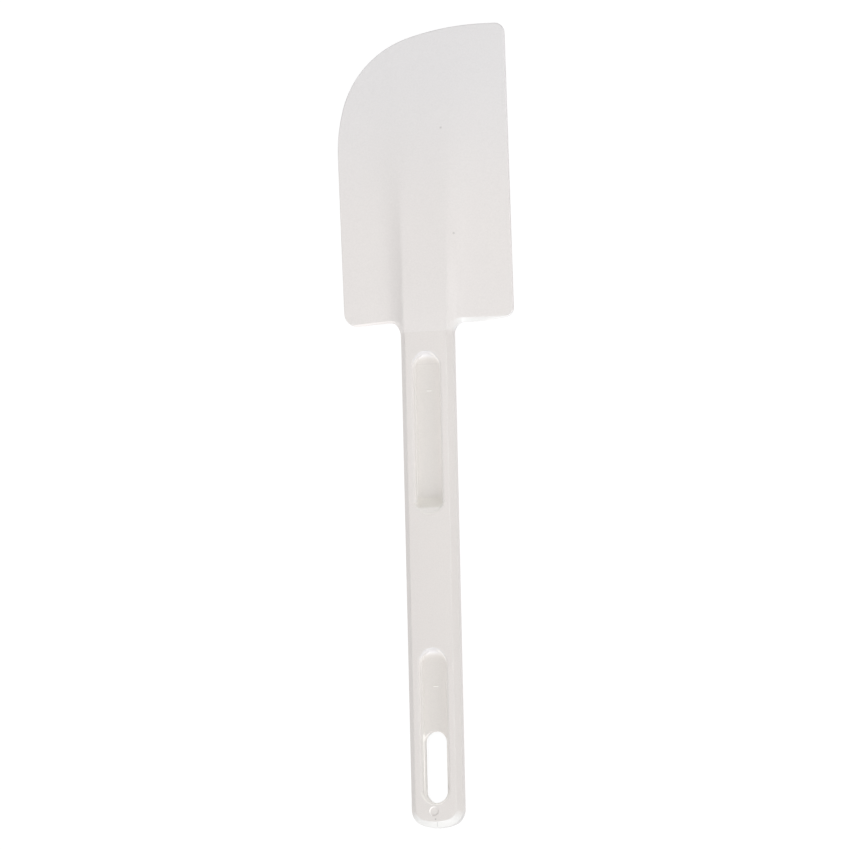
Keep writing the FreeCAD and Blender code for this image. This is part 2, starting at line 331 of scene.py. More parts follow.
def blade_edge():
    """The blade's outline, from the joint's left end round to its right end and along the joint."""
    left_turn, right_turn = (math.degrees(neck_turn(side)) for side in (-1, 1))
    arm = Vector((math.cos(neck_turn(-1)), math.sin(neck_turn(-1))))
    left_start = neck_centre(-1) + arm * NECK_RADIUS[-1]
    left_heading = 90 + LEFT_LEAN
    right_heading = -90 + RIGHT_LEAN
    last_turn = left_heading - sum(turn for radius, turn in SWEEP)
    sweep = SWEEP + ((SWEEP_END_RADIUS, last_turn),)
    rise, heading = 0, left_heading
    for radius, turn in sweep:
        rise += step(heading, radius, turn).y
        heading -= turn
    sweep_start = Vector((-BLADE_HALF_WIDTH, LENGTH - rise))

    edge = Edge(left_start, 90 + left_turn)
    edge.arc(NECK_RADIUS[-1], left_turn - 90)
    corner_turn = 180 - left_heading
    corner = step(180, LEFT_CORNER_RADIUS, corner_turn)
    drop = sweep_start.y - BLADE_BASE_Y - corner.y
    corner_x = sweep_start.x + drop * math.tan(math.radians(LEFT_LEAN)) - corner.x
    edge.line_to((corner_x, BLADE_BASE_Y))
    edge.arc(LEFT_CORNER_RADIUS, corner_turn)
    edge.line_to(sweep_start)
    for radius, turn in sweep:
        edge.arc(radius, turn)

    lean = math.tan(math.radians(RIGHT_LEAN))
    tip = step(0, TIP_RADIUS, -right_heading)
    tip_x = BLADE_HALF_WIDTH - (LENGTH + tip.y - RIGHT_EDGE_Y) * lean - tip.x
    edge.line_to((tip_x, LENGTH))
    edge.arc(TIP_RADIUS, -right_heading)
    corner_turn = 180 + right_heading - RIGHT_LEAD_TURN
    corner = step(right_heading, RIGHT_CORNER_RADIUS, corner_turn)
    lead = step(right_heading - corner_turn, RIGHT_LEAD_RADIUS, RIGHT_LEAD_TURN)
    end_y = BLADE_BASE_Y - corner.y - lead.y
    edge.line_to((edge.point.x + (edge.point.y - end_y) * lean, end_y))
    edge.arc(RIGHT_CORNER_RADIUS, corner_turn)
    edge.arc(RIGHT_LEAD_RADIUS, RIGHT_LEAD_TURN)
    edge.line_to((neck_centre(1).x, BLADE_BASE_Y))
    edge.arc(NECK_RADIUS[1], right_turn - 90)
    joint = joint_line(edge.point.x, left_start.x)
    return joint[-1:] + edge.samples[1:] + joint[:-1]


def joint_line(right_x, left_x):
    """Points along the joint. Their inward direction keeps them in its plane."""
    reach = {side: 1 / math.cos(neck_turn(side)) for side in (-1, 1)}
    points = []
    for i in range(JOINT_COLUMNS + 1):
        share = i / JOINT_COLUMNS
        inward = Vector((mix(-reach[1], reach[-1], share), 0))
        points.append((Vector((mix(right_x, left_x, share), JOINT_Y)), inward))
    return points


def edge_finish(point):
    """Width, wall height and flatness of the blade's edge at a point of its outline."""
    if abs(point.y - JOINT_Y) < SAME_PLACE:
        return BEVEL_ACROSS, SIDE_WALL_HEIGHT, 1.0
    side = 1 if point.x > 0 else -1
    centre = neck_centre(side)
    if abs(point.x) < abs(centre.x) and point.y < BLADE_BASE_Y:
        angle = math.atan2(point.y - centre.y, abs(centre.x) - abs(point.x))
        start = neck_turn(side)
        share = smoothstep((angle - start) / (math.pi / 2 - start))
        width = mix(BEVEL_ACROSS, BASE_BEVEL[side], share)
        return width, mix(SIDE_WALL_HEIGHT, BASE_WALL, share), 1.0
    width = BLADE_BASE_Y + BASE_BEVEL[side] - point.y
    if width > EDGE_ROUNDING:
        flatness = width / BASE_BEVEL[side]
        return width, mix(EDGE_WALL, BASE_WALL, flatness), flatness
    return EDGE_ROUNDING, EDGE_WALL, 0.0


def base_lift(point):
    """The base of the left wing rises a little towards the neck."""
    if point.x > 0 or point.y > BLADE_BASE_Y + LEFT_CORNER_RADIUS:
        return 0.0
    outer, inner = LEFT_BASE_RISE_X
    along = smoothstep((point.x - outer) / (inner - outer))
    return LEFT_BASE_RISE * along * smoothstep((point.y - JOINT_Y) / (BLADE_BASE_Y - JOINT_Y))


# Meshes

def to_frame():
    return Matrix.Scale(MM, 4) @ Matrix.Translation((0, BUTT_Y, HALF_THICKNESS))


def new_piece(name, mesh):
    piece = bpy.data.objects.new(name, mesh)
    bpy.context.scene.collection.objects.link(piece)
    return piece


def blade_tree(material):
    """The blade's front face over its outline, its edge rounded or bevelled, and the same behind."""
    tree = bpy.data.node_groups.new("blade_over_outline", "GeometryNodeTree")
    g = Graph(tree)
    sockets = tree.interface
    sockets.new_socket(name="Outline", in_out="INPUT", socket_type="NodeSocketGeometry")
    for name, kind in (("Edge Rings", "Int"), ("Face Rings", "Int"), ("Length", "Float"),
                       ("Joint", "Float"), ("Section Half Width", "Float"), ("Edge Height", "Float")):
        sockets.new_socket(name=name, in_out="INPUT", socket_type="NodeSocket" + kind)
    sockets.new_socket(name="Blade", in_out="OUTPUT", socket_type="NodeSocketGeometry")
    source = tree.nodes.new("NodeGroupInput")
    given = {s.name: Value(g, s) for s in source.outputs if s.name}
    outline = given["Outline"]

    # A grid with one column for each point of the outline and one row for each ring
    count = g.add("GeometryNodeAttributeDomainSize", {"component": "MESH"}, {0: outline})
    rings = given["Edge Rings"] + given["Face Rings"]
    grid = g.add("GeometryNodeMeshGrid", None, {"Vertices X": count + 1, "Vertices Y": rings})
    index = g.add("GeometryNodeInputIndex")
    ring = index % rings
    column = ((index - ring) / rings) % count

    def sampled(value, kind):
        return g.add("GeometryNodeSampleIndex", {"data_type": kind, "domain": "POINT"},
                     {"Geometry": outline, "Value": value, "Index": column})

    def attribute(name, kind):
        field = g.add("GeometryNodeInputNamedAttribute", {"data_type": kind}, {"Name": name})
        return sampled(field, kind)

    rim = sampled(g.add("GeometryNodeInputPosition"), "FLOAT_VECTOR")
    inward = attribute("inward", "FLOAT_VECTOR")
    width = attribute("width", "FLOAT")
    wall = attribute("wall", "FLOAT")
    flatness = attribute("flatness", "FLOAT")

    def surface(x, y):
        """Height of the face: a level crown, flanks down to a foot, and a field that thins out."""
        share = g.ramp(y, given["Joint"], given["Joint"] + given["Length"])
        crown = g.curve(share, CROWN_HEIGHT, HEIGHT_LIMIT)
        crown_x = g.curve(share, CROWN_HALF_WIDTH, WIDTH_LIMIT)
        foot = g.curve(share, FOOT_HEIGHT, HEIGHT_LIMIT)
        foot_x = g.curve(share, FOOT_HALF_WIDTH, WIDTH_LIMIT)
        flank_slope = (crown - foot) / (foot_x - crown_x)
        field_slope = (foot - given["Edge Height"]) / (given["Section Half Width"] - foot_x)

        def past(start, softness_along):
            """Distance past a fold in the section, rounded over the fold."""
            beyond = x.absolute() - start
            softness = g.curve(share, softness_along, SOFTNESS_LIMIT)
            return (beyond + (beyond * beyond + softness * softness).maths("SQRT")) / 2

        down = past(crown_x, SHOULDER_SOFTNESS) * flank_slope
        level_out = past(foot_x, FOOT_SOFTNESS) * (flank_slope - field_slope)
        return (crown - down + level_out).at_most(HALF_THICKNESS)

    # Edge: up the wall, then in over the rounding or the bevel
    rise = g.ramp(ring, 0.0, WALL_RINGS)
    over = g.ramp(ring, WALL_RINGS, given["Edge Rings"])
    quarter = over * (math.pi / 2)
    inset = g.between(flatness, 1 - quarter.maths("COSINE"), over)
    lift = g.between(flatness, quarter.maths("SINE"), over)
    rim_x, rim_y = g.part(rim, 0), g.part(rim, 1)
    in_x, in_y = g.part(inward, 0), g.part(inward, 1)
    shelf_x, shelf_y = rim_x + in_x * width, rim_y + in_y * width
    shelf = surface(shelf_x, shelf_y)
    edge_x, edge_y = rim_x + in_x * width * inset, rim_y + in_y * width * inset
    edge_z = wall * rise + (shelf - wall) * lift

    # Face: in from the edge to a spine along the middle
    along = g.ramp(ring, given["Edge Rings"], rings - 1)
    ease = along * (2 - along) * SPINE_EASE + along * (1 - SPINE_EASE)
    spine_low, spine_high = SPINE_ENDS
    spine_y = shelf_y.at_least(spine_low).at_most(spine_high)
    spine_y = ((spine_y - spine_low) / SPINE_STEP).maths("ROUND") * SPINE_STEP + spine_low
    face_x, face_y = shelf_x * (1 - ease), g.between(ease, shelf_y, spine_y)
    on_face = ring.above(given["Edge Rings"])
    x = g.between(on_face, edge_x, face_x)
    y = g.between(on_face, edge_y, face_y)
    z = g.between(on_face, edge_z, surface(face_x, face_y))

    def merged(geometry):
        return g.add("GeometryNodeMergeByDistance", None, {"Geometry": geometry, "Distance": BLADE_MERGE})

    def flipped(geometry):
        return g.add("GeometryNodeFlipFaces", None, {0: geometry})

    # The placed grid points inwards, and so does a mirrored copy of a face that points outwards
    shaped = g.add("GeometryNodeSetPosition", None, {"Geometry": grid, "Position": g.vector(x, y, z)})
    front = flipped(merged(shaped))
    back = flipped(g.add("GeometryNodeTransform", None, {"Geometry": front, "Scale": (1, 1, -1)}))
    both = merged(g.add("GeometryNodeJoinGeometry", None, {0: [front, back]}))
    placed = g.add("GeometryNodeTransform", None, {
        "Geometry": both, "Translation": (0, BUTT_Y * MM, HALF_THICKNESS * MM), "Scale": (MM, MM, MM)})
    smooth = g.add("GeometryNodeSetShadeSmooth", {"domain": "FACE"}, {"Geometry": placed})
    sharp = g.add("GeometryNodeInputMeshEdgeAngle").above(SHARP_ANGLE)
    creased = g.add("GeometryNodeSetShadeSmooth", {"domain": "EDGE"},
                    {"Geometry": smooth, "Selection": sharp, "Shade Smooth": False})
    real = g.add("GeometryNodeRealizeInstances", None, {0: creased})
    finished = g.add("GeometryNodeSetMaterial", None, {"Geometry": real, "Material": material})
    sink = tree.nodes.new("NodeGroupOutput")
    tree.links.new(finished.socket, sink.inputs[0])
    return tree


def make_blade(material):
    samples = blade_edge()
    outline = bpy.data.meshes.new("blade_outline")
    outline.from_pydata([(p.x, p.y + base_lift(p), 0) for p, inward in samples], [], [])
    inward = outline.attributes.new("inward", "FLOAT_VECTOR", "POINT")
    inward.data.foreach_set("vector", [c for p, way in samples for c in (way.x, way.y, 0)])
    finishes = [edge_finish(p) for p, way in samples]
    for i, name in enumerate(("width", "wall", "flatness")):
        field = outline.attributes.new(name, "FLOAT", "POINT")
        field.data.foreach_set("value", [finish[i] for finish in finishes])
    carrier = new_piece("blade_carrier", outline)
    modifier = carrier.modifiers.new("blade", "NODES")
    modifier.node_group = blade_tree(material)
    sizes = {"Edge Rings": EDGE_RINGS, "Face Rings": FACE_RINGS, "Length": BLADE_LENGTH,
             "Joint": JOINT_Y, "Section Half Width": SECTION_HALF_WIDTH, "Edge Height": EDGE_HEIGHT}
    for item in modifier.node_group.interface.items_tree:
        if item.name in sizes:
            modifier[item.identifier] = sizes[item.name]
    carrier.update_tag()
    evaluated = carrier.evaluated_get(bpy.context.evaluated_depsgraph_get())
    mesh = bpy.data.meshes.new_from_object(evaluated)
    mesh.name = "blade_moulding"
    bpy.data.objects.remove(carrier)
    return new_piece("blade_moulding", mesh)


# Handle

def handle_loop(inset):
    """The handle's outline set in by a distance, from the right neck round the butt to the left."""
    points = []

    def arc(x, y, radius, first, last, steps, closing=False):
        for i in range(steps + closing):
            angle = math.radians(mix(first, last, i / steps))
            points.append(Vector((x + radius * math.cos(angle), y + radius * math.sin(angle))))

    def straight(x, first, last):
        shares = [i / SIDE_COLUMNS for i in range(SIDE_COLUMNS)]
        points.extend(Vector((x, mix(first, last, share))) for share in shares)

    corner_x = HALF_WIDTH - BUTT_CORNER_RADIUS
    lean = math.degrees(math.asin(corner_x / (BUTT_RADIUS - BUTT_CORNER_RADIUS)))
    corner_y = BUTT_RADIUS - (BUTT_RADIUS - BUTT_CORNER_RADIUS) * math.cos(math.radians(lean))
    corner, butt = BUTT_CORNER_RADIUS - inset, BUTT_RADIUS - inset
    right, left = neck_centre(1), neck_centre(-1)
    right_turn, left_turn = (math.degrees(neck_turn(side, inset)) for side in (1, -1))
    arc(right.x, right.y, NECK_RADIUS[1] + inset, 180 - right_turn, 180, NECK_STEPS[1])
    straight(HALF_WIDTH - inset, right.y, corner_y)
    arc(corner_x, corner_y, corner, 0, lean - 90, CORNER_STEPS)
    arc(0, BUTT_RADIUS, butt, lean - 90, -90 - lean, BUTT_STEPS)
    arc(-corner_x, corner_y, corner, -90 - lean, -180, CORNER_STEPS)
    straight(-HALF_WIDTH + inset, corner_y, left.y)
    arc(left.x, left.y, NECK_RADIUS[-1] + inset, 0, left_turn, NECK_STEPS[-1], closing=True)
    return points


def rounded(corners, radius, steps):
    """A profile whose inner corners are rounded, with a support point close to each rounding."""
    profile = [Vector(corners[0])]
    for before, here, after in zip(corners, corners[1:], corners[2:]):
        here = Vector(here)
        back, ahead = (Vector(before) - here).normalized(), (Vector(after) - here).normalized()
        half = back.angle(ahead) / 2
        reach = radius / math.tan(half)
        middle = here + (back + ahead).normalized() * radius / math.sin(half)
        first, last = here + back * reach, here + ahead * reach
        profile.append(first + back * SUPPORT)
        for i in range(steps + 1):
            arm = (first - middle).normalized().slerp((last - middle).normalized(), i / steps)
            profile.append(middle + arm * radius)
        profile.append(last + ahead * SUPPORT)
    return profile


class Skin:
    """One face of the handle, built up from the mid-plane. Heights are positive on either face."""

    def __init__(self):
        self.bm = bmesh.new()

    def ring(self, points, heights):
        """A line of vertices. heights is one number or one for each point."""
        if not isinstance(heights, list):
            heights = [heights] * len(points)
        return [self.bm.verts.new((p.x, p.y, z)) for p, z in zip(points, heights)]

    def band(self, a, b, closed=False):
        last = len(a) if closed else len(a) - 1
        for i in range(last):
            j = (i + 1) % len(a)
            self.bm.faces.new((a[i], a[j], b[j], b[i]))

    def bands(self, rings, closed=False):
        for a, b in zip(rings, rings[1:]):
            self.band(a, b, closed)

    def edges_of(self, ring, closed):
        pairs = zip(ring, ring[1:] + ring[:1] if closed else ring[1:])
        return [self.bm.edges.get(pair) or self.bm.edges.new(pair) for pair in pairs]


class Pocket:
    """The stations of a round-ended pocket, from its low end up its right-hand side."""

    END_STEPS = 14
    SHOULDER_STEPS = 4

    def __init__(self, span, stops=()):
        low, high = span[0] + POCKET_RADIUS, span[1] - POCKET_RADIUS
        crease = math.degrees(math.asin((POCKET_RADIUS - RAMP_RUN) / POCKET_RADIUS))
        ends = [mix(90, crease, i / self.END_STEPS) for i in range(self.END_STEPS)]
        ends += [mix(crease, 0, i / self.SHOULDER_STEPS) for i in range(self.SHOULDER_STEPS)]
        self.span = span
        self.stations = [(low, math.radians(-a)) for a in ends]
        marks = [low, *sorted(stops), high]
        for first, last in zip(marks, marks[1:]):
            count = math.ceil((last - first) / STATION_SPACING)
            self.stations += [(mix(first, last, i / count), 0.0) for i in range(count)]
        self.stations.append((high, 0.0))
        self.stations += [(high, math.radians(a)) for a in reversed(ends)]

    def right(self, radius):
        return [Vector((radius * math.cos(a), y + radius * math.sin(a))) for y, a in self.stations]

    def loop(self, radius):
        right = self.right(radius)
        return right + [Vector((-p.x, p.y)) for p in right[-2:0:-1]]

    def distance_to_wall(self, x, y):
        low, high = self.span[0] + POCKET_RADIUS, self.span[1] - POCKET_RADIUS
        past = y - min(max(y, low), high)
        return POCKET_RADIUS - math.hypot(x, past)


def floor_height(pocket, y, low_ramp):
    """Height of a pocket's floor: level, then scooped up to the rim at its ends."""
    depth = HALF_THICKNESS - POCKET_FLOOR
    reach = RAMP_RUN - (pocket.span[1] - y)
    scoop = min(max(reach / (RAMP_RUN + RIM_RADIUS), 0.0), 1.0) ** SCOOP_POWER
    if low_ramp:
        foot, head = LOW_RAMP
        rise = smoothstep((pocket.span[0] + foot - y) / (foot - head))
        scoop = max(scoop, LOW_RAMP_SHARE * rise)
    return POCKET_FLOOR + depth * scoop


def foot_rise(distance, radius):
    """Height that the rounding at the foot of a wall adds to the floor."""
    if distance >= radius:
        return 0.0
    return radius - math.sqrt(radius ** 2 - (radius - distance) ** 2)


def floor_mark(x, y, mark):
    """Height of a short raised line on the floor."""
    if mark is None:
        return 0.0
    across = smoothstep((MARK_HALF_LENGTH - abs(x - mark[0])) / MARK_END)
    return MARK_HEIGHT * across * smoothstep(1 - abs(y - mark[1]) / MARK_HALF_WIDTH)


def mark_rows(y):
    """Stations that give a mark on a pocket's floor enough rows."""
    return [y + offset * MARK_ROW_STEP for offset in range(-5, 6)]


def pocket_faces(skin, pocket, mark, low_ramp, slot):
    """Rim, wall and floor of one pocket. Returns the ring that the flat is filled up to."""
    top = HALF_THICKNESS
    cusp = SLOT_END - POCKET_RADIUS
    outer = skin.ring(pocket.loop(POCKET_RADIUS + RIM_RADIUS + SUPPORT), top)
    rings = [outer]
    wall = pocket.loop(POCKET_RADIUS)

    def rim_height(y, angle):
        """A quarter round, which gives way to the scoop's own slope where the wall is low."""
        round_top = top - RIM_RADIUS * (1 - math.cos(angle))
        scoop = floor_height(pocket, y, low_ramp)
        passed, whole = (math.hypot(run, SCOOP_EDGE) - SCOOP_EDGE for run in (math.sin(angle), 1))
        high_wall, low_wall = SCOOP_BLEND
        share = smoothstep((high_wall - (top - scoop)) / (high_wall - low_wall))
        return mix(round_top, mix(top, scoop, passed / whole), share)

    for angle in quarter_turn(RIM_STEPS):
        points = pocket.loop(POCKET_RADIUS + RIM_RADIUS * (1 - math.sin(angle)))
        rings.append(skin.ring(points, [rim_height(p.y, angle) for p in wall]))
    wall_top = [v.co.z for v in rings[-1]]

    def foot_radius(y):
        room = rim_height(y, math.pi / 2) - floor_height(pocket, y, low_ramp)
        return max(min(FOOT_RADIUS, room * FOOT_SHARE), LEAST_FOOT)

    def wall_foot(y):
        return floor_height(pocket, y, low_ramp) + foot_radius(y)

    foot = [wall_foot(p.y) for p in wall]
    for share in THIRDS + (1.0,):
        rings.append(skin.ring(wall, [mix(a, b, share) for a, b in zip(wall_top, foot)]))
    skin.bands(rings, closed=True)

    # Floor, row by row between the two walls
    def floor_point(x, y, row_y):
        height = floor_height(pocket, y, low_ramp)
        height += foot_rise(max(pocket.distance_to_wall(x, y), 0.0), foot_radius(row_y))
        return Vector((x, y)), height + floor_mark(x, y, mark)

    angles = [math.pi * k / FLOOR_COLUMNS for k in range(FLOOR_COLUMNS + 1)]
    rows = []
    for point in pocket.right(POCKET_RADIUS):
        if slot and point.y < cusp - SAME_PLACE:
            continue
        row = []
        for angle in angles:
            x = max(point.x, 0.0) * math.cos(angle)
            swell = 0.0
            if slot:
                swell = POCKET_RADIUS * math.sin(angle) * max(0.0, 1 - (point.y - cusp) / SLOT_BLEND)
            row.append(floor_point(x, point.y + swell, point.y))
        rows.append(skin.ring([p for p, z in row], [z for p, z in row]))
    if slot:
        slot_faces(skin, pocket, rows, angles, rings[-1], wall)
    skin.bands(rows)
    return outer


def slot_faces(skin, pocket, rows, angles, foot_ring, wall):
    """The slot's wall down to the mid-plane, and the rounded edge of the web round it."""
    cusp = SLOT_END - POCKET_RADIUS
    below = [i for i, p in enumerate(wall) if p.y < cusp + SAME_PLACE]
    turn = next(n for n, (a, b) in enumerate(zip(below, below[1:])) if b - a > 1)
    order = below[turn + 1:] + below[:turn + 1]
    edge = []
    for angle in quarter_turn(LIP_STEPS):
        edge.append((SLOT_RADIUS + SLOT_LIP * (1 - math.cos(angle)), SLOT_LIP * (1 - math.sin(angle))))
    edge_radius = SLOT_RADIUS + SLOT_LIP

    def place(x, y, radius):
        """A point of the slot, moved off the recess's centre as its radius leaves the wall's."""
        share = min((POCKET_RADIUS - radius) / (POCKET_RADIUS - edge_radius), 1.0)
        first = pocket.span[0] + POCKET_RADIUS
        rise = mix(*SLOT_SHIFT_Y, smoothstep((y - first) / (cusp - first)))
        return Vector((x + share * SLOT_SHIFT_X, y + share * rise))

    def web_heights(points):
        walls = [max(pocket.distance_to_wall(p.x, p.y), 0.0) for p in points]
        return [POCKET_FLOOR + foot_rise(distance, FOOT_RADIUS) for distance in walls]

    def side_points(radius):
        loop = pocket.loop(radius)
        return [place(loop[i].x, loop[i].y, radius) for i in order]

    def upper_arc(radius):
        return [place(radius * math.cos(a), cusp + radius * math.sin(a), radius) for a in angles]

    # Sides and low end: the foot of the wall, then the edge
    sides = [[foot_ring[i] for i in order]]
    for share in reversed(THIRDS):
        points = side_points(mix(edge_radius, POCKET_RADIUS, share))
        sides.append(skin.ring(points, web_heights(points)))
    edge_top = web_heights(side_points(edge_radius))
    for radius, drop in reversed(edge):
        sides.append(skin.ring(side_points(radius), [z - drop for z in edge_top]))
    sides.append(skin.ring(side_points(SLOT_RADIUS), 0.0))
    skin.bands(sides)

    # Upper end: the same edge along the floor
    edge_top = web_heights(upper_arc(edge_radius))
    lip = [skin.ring(upper_arc(SLOT_RADIUS), 0.0)]
    for radius, drop in edge:
        lip.append(skin.ring(upper_arc(radius), [z - drop for z in edge_top]))
    skin.bands(lip)
    for vert, point in zip(rows[0], lip[-1]):
        vert.co = point.co
    for end, wall_end in ((0, rows[1][0]), (-1, rows[1][-1])):
        column = 0 if (sides[0][0].co.x > 0) == (wall_end.co.x > 0) else -1
        corner = [ring[column] for ring in sides[:len(THIRDS) + 1]]
        skin.bm.faces.new(corner + [rows[0][end], wall_end])


def ejector_mark(skin):
    """A shallow round dimple left by the mould, on the front only."""
    x, y = EJECTOR_MARK
    angles = [2 * math.pi * i / EJECTOR_STEPS for i in range(EJECTOR_STEPS)]
    bend = EJECTOR_BEND * EJECTOR_EDGE
    rings = []
    for beyond, depth in ((2 * EJECTOR_EDGE, 0), (EJECTOR_EDGE, 0), (bend, bend), (0, EJECTOR_EDGE),
                          (-EJECTOR_EDGE, EJECTOR_DEPTH), (-2 * EJECTOR_EDGE, EJECTOR_DEPTH)):
        radius = EJECTOR_RADIUS + beyond
        circle = [Vector((x + radius * math.cos(a), y + radius * math.sin(a))) for a in angles]
        rings.append(skin.ring(circle, HALF_THICKNESS - depth))
    skin.bands(rings, closed=True)
    skin.bm.faces.new(rings[-1])
    return rings[0]


def handle_face(front):
    """One face of the handle, from its mid-plane up."""
    skin = Skin()
    flat = (2 * BEVEL_ACROSS, HALF_THICKNESS)
    corners = [(0, 0), (0, SIDE_WALL_HEIGHT), (BEVEL_ACROSS, HALF_THICKNESS), flat]
    profile = rounded(corners, SOFT_EDGE, SOFT_EDGE_STEPS)[:-1]
    rings = [skin.ring(handle_loop(p.x), p.y) for p in profile]
    skin.bands(rings)
    end = [ring[0] for ring in rings] + [ring[-1] for ring in reversed(rings)]
    skin.bm.faces.new(end)

    grip = Pocket(GRIP_POCKET, stops=mark_rows(GRIP_MARK[1]))
    recess = Pocket(HANGING_RECESS, stops=[SLOT_END - POCKET_RADIUS] + mark_rows(RECESS_MARK[1]))
    grip_rim = pocket_faces(skin, grip, GRIP_MARK if front else None, True, False)
    recess_rim = pocket_faces(skin, recess, RECESS_MARK if front else None, False, True)
    borders = skin.edges_of(rings[-1], False) + skin.edges_of([rings[-1][-1], rings[-1][0]], False)
    borders += skin.edges_of(grip_rim, True) + skin.edges_of(recess_rim, True)
    if front:
        borders += skin.edges_of(ejector_mark(skin), True)
    bmesh.ops.triangle_fill(skin.bm, use_beauty=True, edges=borders, normal=(0, 0, 1))
    if not front:
        bmesh.ops.scale(skin.bm, vec=(1, 1, -1), verts=skin.bm.verts)
    return skin.bm


def make_handle(material):
    whole = bmesh.new()
    for front in (True, False):
        half = handle_face(front)
        part = bpy.data.meshes.new("half")
        half.to_mesh(part)
        half.free()
        whole.from_mesh(part)
        bpy.data.meshes.remove(part)
    bmesh.ops.remove_doubles(whole, verts=whole.verts, dist=HANDLE_MERGE)
    bmesh.ops.dissolve_degenerate(whole, edges=whole.edges, dist=SLIVER)
    inner = [f for f in whole.faces if all(abs(v.co.y - JOINT_Y) < SAME_PLACE for v in f.verts)]
    bmesh.ops.dissolve_faces(whole, faces=inner)
    bmesh.ops.recalc_face_normals(whole, faces=whole.faces)
    for face in whole.faces:
        face.smooth = True
    for edge in whole.edges:
        edge.smooth = len(edge.link_faces) == 2 and edge.calc_face_angle() < SHARP_ANGLE
    for vert in whole.verts:
        vert.co.x *= 1 - BUTT_TAPER * (1 - vert.co.y / JOINT_Y)
    whole.transform(to_frame())
    mesh = bpy.data.meshes.new("handle_moulding")
    whole.to_mesh(mesh)
    whole.free()
    mesh.materials.append(material)
    return new_piece("handle_moulding", mesh)


# Finishes. Their masks are worked out in millimetres, as the shapes are.

# White plastic, as linear red, green, blue and 1: a cloudy pair of tones, and those laid over it, most of
# them painted light and shade
PLASTIC_TONES = ((0.732, 0.698, 0.676, 1), (0.752, 0.718, 0.696, 1))
# painted shade: the plastic a little darker towards the butt
BUTT_SHADE_TONE = (0.724, 0.690, 0.668, 1)
# painted highlight colour: faces turned to the butt made whiter
TURNED_SHEEN_TONE = (0.745, 0.740, 0.731, 1)
# painted highlight colour, toned down: the pockets' scoops turned to the butt, more neutral and darker
SCOOP_SHEEN_TONE = (0.689, 0.676, 0.686, 1)
# painted shade: upright faces turned to the butt darker, chiefly the butt's end, as a dark outline
BUTT_END_SHADE_TONE = (0.58, 0.57, 0.56, 1)
# painted shade: the pockets' floors darker, most on the left
FLOOR_SHADE_TONES = ((0.692, 0.663, 0.634, 1), (0.745, 0.712, 0.682, 1))
# painted shadow: the pockets' floors darker towards the butt
BUTT_FLOOR_SHADE_TONE = (0.64, 0.61, 0.58, 1)
BUTT_FLOOR_SHADE_SHARE = 0.28
# painted light: faces in the pockets turned to the blade made lighter, most on their rims and at the
# slot's low end
RISE_LIGHT_TONE = (0.764, 0.735, 0.686, 1)
RISE_RIM_LIGHT_TONE = (0.86, 0.835, 0.805, 1)
SLOT_FOOT_LIGHT_TONE = (0.95, 0.92, 0.88, 1)
# painted light: the pockets' steep walls and the slot's left side made lighter
WALL_LIGHT_TONE = (0.92, 0.895, 0.87, 1)
SLOT_LIGHT_TONE = (0.96, 0.935, 0.90, 1)
# painted highlight on the inner edge of the ejector dimple
LIT_EDGE_TONE = (0.97, 0.95, 0.93, 1)
# painted highlight on the lit side of each raised floor mark
LIT_MARK_TONE = (0.95, 0.93, 0.91, 1)
# dark mould marks, and painted shade in a crease
DARK_MARK_AND_SHADE_TONE = (0.2, 0.2, 0.2, 1)

# White rubber, with painted shade towards the tip and a painted highlight colour at the right of the base
RUBBER_TONES = ((0.760, 0.728, 0.712, 1), (0.780, 0.748, 0.732, 1))
# painted shade: the blade cooler and a little darker towards its tip
TIP_SHADE_TONE = (0.740, 0.725, 0.727, 1)
TIP_SHADE_ALONG = (175.0, 235.0)
# painted highlight colour: faces at the right of the base turned to the handle, made whiter
BASE_SHEEN_TONE = (0.755, 0.752, 0.745, 1)
BASE_TURN = (0.15, 0.5)
BASE_ACROSS = (-2.0, 2.0)
SPECK_TONE = (0.12, 0.10, 0.09, 1)
SPECK_SHARE = 0.27
SPECK_FADE = (0.48, 0.12)
BLADE_SPECKS = ((9.06, 178.0), (5.68, 210.2))

# Over either: fine flecks, and how far above the mid-plane a point counts as on the front
FLECKS = (0.94, 1.06)
FRONT_ABOVE = (0.0, 0.1)

# Where masks on the plastic begin and where they are full. Heights are from the mid-plane.
BUTT_REACH = (115.0, 55.0)
POCKET_ACROSS = (5.6, 4.8)
POCKET_ALONG = (6.0, 6.6)
WALL_HEIGHT = (3.9, 3.6)
FLOOR_HEIGHT = (2.4, 1.7)
FLOOR_ACROSS = (-3.5, 3.5)
UPPER_WALL_HEIGHT = (2.8, 3.3)
RIM_HEIGHT = (3.4, 3.7)
SLOT_HEIGHT = (2.2, 1.9)
SLOT_LEDGE_ACROSS = (-3.3, -3.5)
SLOT_ALONG = (SLOT_END - 0.5, SLOT_END - 1.5)
SLOT_FOOT_ALONG = (14.0, 12.0)

# The same for the part of a face's normal that lies along one axis
LEFT_WALL_TURN = (0.5, 1.0)
RIGHT_WALL_TURN = (0.1, 0.6)
UPPER_WALL_TURN = (0.25, 0.7)
UPPER_WALL_SHARE = 0.25
SLOT_TURN = (0.1, 0.3)
BUTT_TURN = (0.1, 0.5)
BLADE_TURN = (0.05, 0.35)
UPRIGHT = (0.3, 0.1)

# Small moulding marks on the front, with painted highlights on the dimple's edge and the floor marks and
# painted shade in a crease: place, then where each fades in
CRESCENT_OUTSIDE = (1.50, 1.38)
CRESCENT_INSIDE = (1.36, 1.48)
CRESCENT_SHIFT = (0.29, -0.08)
GATE_LINE_TOP = (0.3, 1.66)
GATE_LINE_LEAN = 0.25
GATE_LINE_ACROSS = (0.16, 0.06)
GATE_LINE_FOOT = (0.2, 0.35)
GATE_LINE_HEAD = (1.75, 1.6)
GATE_LINE_SHARE = 0.3
GATE_SPOT = (-0.2, 2.45)
GATE_SPOT_FADE = (0.34, 0.1)
GATE_SPOT_SHARE = 0.5
